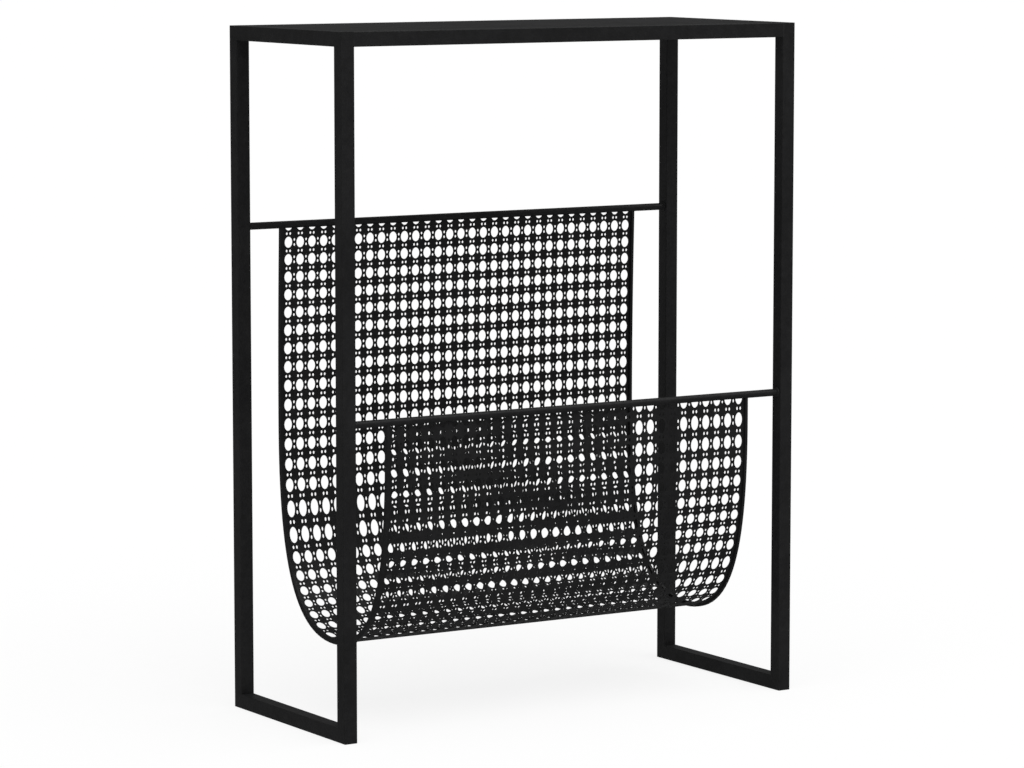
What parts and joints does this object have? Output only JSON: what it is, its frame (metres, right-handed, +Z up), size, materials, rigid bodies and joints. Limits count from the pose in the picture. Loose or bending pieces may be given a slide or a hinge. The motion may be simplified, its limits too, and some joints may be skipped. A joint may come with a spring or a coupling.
{
  "type": "newspaper rack",
  "caption": "Slim black steel rack with a flat shelf top on square-tube side frames and a U-shaped basket of cane-pattern perforated sheet hung between a high rear rod and a low front rod.",
  "frame": {"origin": "on the floor, at the middle of the rack's footprint", "axes": "+X along the width, to the right as seen from the front; +Y towards the back; +Z up"},
  "size_m": [0.462, 0.196, 0.6],
  "materials": {
    "frame_paint": "matte black powder coat with a fine orange-peel texture on square steel tube",
    "shelf_paint": "matte black powder coat on flat steel sheet",
    "rod_paint": "matte black powder coat on the round steel rods and on the small flat bars that edge the sheet",
    "sheet_paint": "matte black powder coat on perforated steel sheet",
    "weld_paint": "matte black powder coat over small weld beads"
  },
  "bodies": {
    "root": {"left_front_leg": "frame_paint", "left_rear_leg": "frame_paint", "left_floor_rail": "frame_paint", "left_top_rail": "frame_paint", "right_front_leg": "frame_paint", "right_rear_leg": "frame_paint", "right_floor_rail": "frame_paint", "right_top_rail": "frame_paint", "front_top_rail": "frame_paint", "rear_top_rail": "frame_paint", "shelf_panel": "shelf_paint", "rear_rod": "rod_paint", "front_rod": "rod_paint", "basket_sheet": "sheet_paint", "left_sheet_rim": "rod_paint", "right_sheet_rim": "rod_paint", "rail_end_welds": "frame_paint", "shelf_panel_welds": "weld_paint", "rear_rod_welds": "weld_paint", "front_rod_welds": "weld_paint", "rear_sheet_welds": "weld_paint", "front_sheet_welds": "weld_paint"}
  },
  "joints": []
}
